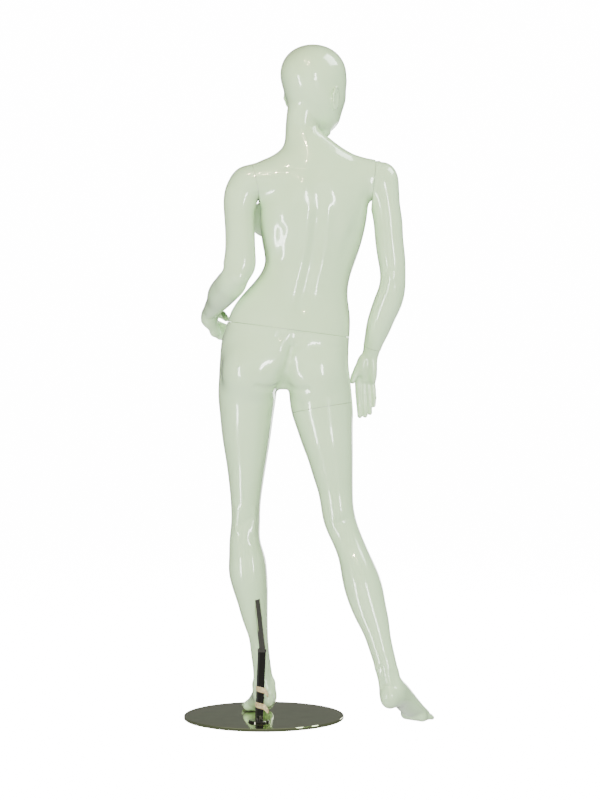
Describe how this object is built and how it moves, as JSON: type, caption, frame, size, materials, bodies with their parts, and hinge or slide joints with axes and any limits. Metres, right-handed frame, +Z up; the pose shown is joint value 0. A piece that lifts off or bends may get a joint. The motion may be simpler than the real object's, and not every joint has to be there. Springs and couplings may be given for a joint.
{
  "type": "full body mannequin",
  "caption": "Glossy off-white standing display figure, one hand on the hip, that parts at waist, thigh, shoulders and wrists, on a calf rod and round polished plate.",
  "frame": {"origin": "centre of the round plate's underside, on the floor", "axes": "+Z up; the figure faces -Y and its left side is +X"},
  "size_m": [0.6701, 0.4405, 1.783],
  "materials": {
    "gloss_shell": "high gloss lacquer on glass fibre, off-white",
    "polished_plate": "mirror-polished steel",
    "chrome": "bright chrome",
    "zinc_steel": "zinc-plated",
    "plywood": "raw plywood",
    "tape": "torn paper tape"
  },
  "bodies": {
    "base": {"base_plate": "polished_plate", "rod_flange": "chrome", "flange_screws": "chrome", "base_tube": "chrome", "tube_collar": "chrome", "tape_bands": "tape"},
    "clamp": {"clamp_screw": "chrome"},
    "rod": {"calf_rod": "chrome"},
    "lower_body": {"pelvis_leg_shell": "gloss_shell", "calf_socket": "zinc_steel", "lower_waist_board": "plywood", "waist_socket": "zinc_steel", "waist_socket_screws": "zinc_steel", "upper_thigh_board": "plywood", "thigh_plate": "zinc_steel", "thigh_plate_screws": "zinc_steel"},
    "right_leg": {"right_leg_shell": "gloss_shell", "lower_thigh_board": "plywood", "thigh_key": "zinc_steel", "thigh_key_screws": "zinc_steel"},
    "torso": {"torso_head_shell": "gloss_shell", "upper_waist_board": "plywood", "waist_post": "zinc_steel", "waist_post_screws": "zinc_steel", "left_shoulder_board": "plywood", "left_shoulder_plate": "zinc_steel", "right_shoulder_board": "plywood", "right_shoulder_plate": "zinc_steel", "shoulder_screws": "zinc_steel"},
    "left_arm": {"left_arm_shell": "gloss_shell", "left_arm_board": "plywood", "left_arm_key": "zinc_steel", "left_wrist_socket": "zinc_steel"},
    "right_arm": {"right_arm_shell": "gloss_shell", "right_arm_board": "plywood", "right_arm_key": "zinc_steel", "right_wrist_socket": "zinc_steel"},
    "left_hand_body": {"left_hand": "gloss_shell", "left_wrist_pin": "zinc_steel"},
    "right_hand_body": {"right_hand": "gloss_shell", "right_wrist_pin": "zinc_steel"}
  },
  "joints": [
    {"name": "clamp_screw_turn", "type": "hinge", "parent": "base", "child": "clamp", "pos_m": [0.01066, 0.106, 0.01849], "axis": [-0.2921, 0.9563, -0.0122], "range_deg": [0, 180]},
    {"name": "rod_height", "type": "slide", "parent": "base", "child": "rod", "axis": [-0.0419, 0, 0.9991], "range_m": [0, 0.06]},
    {"name": "figure_lift", "type": "slide", "parent": "rod", "child": "lower_body", "axis": [0.1157, -0.3649, 0.9238], "range_m": [0, 0.09]},
    {"name": "thigh_lock", "type": "hinge", "parent": "lower_body", "child": "right_leg", "pos_m": [-0.16, 0.008, 0.825], "axis": [0.1701, -0.06, 0.9836], "range_deg": [0, 18]},
    {"name": "torso_lift", "type": "slide", "parent": "lower_body", "child": "torso", "axis": [-0.129, 0, 0.9917], "range_m": [0, 0.08]},
    {"name": "left_shoulder", "type": "hinge", "parent": "torso", "child": "left_arm", "pos_m": [0.022, 0.04, 1.417], "axis": [0.971, 0.107, -0.214], "range_deg": [-60, 0]},
    {"name": "right_shoulder", "type": "hinge", "parent": "torso", "child": "right_arm", "pos_m": [-0.292, -0.014, 1.428], "axis": [0.995, 0, 0.1], "range_deg": [-60, 0]},
    {"name": "left_wrist", "type": "hinge", "parent": "left_arm", "child": "left_hand_body", "pos_m": [0.15, -0.137, 1.083], "axis": [0.3302, -0.8805, -0.3402], "range_deg": [0, 25]},
    {"name": "right_wrist", "type": "hinge", "parent": "right_arm", "child": "right_hand_body", "pos_m": [-0.288, -0.044, 0.984], "axis": [0.275, -0.22, -0.9359], "range_deg": [0, 22]}
  ]
}
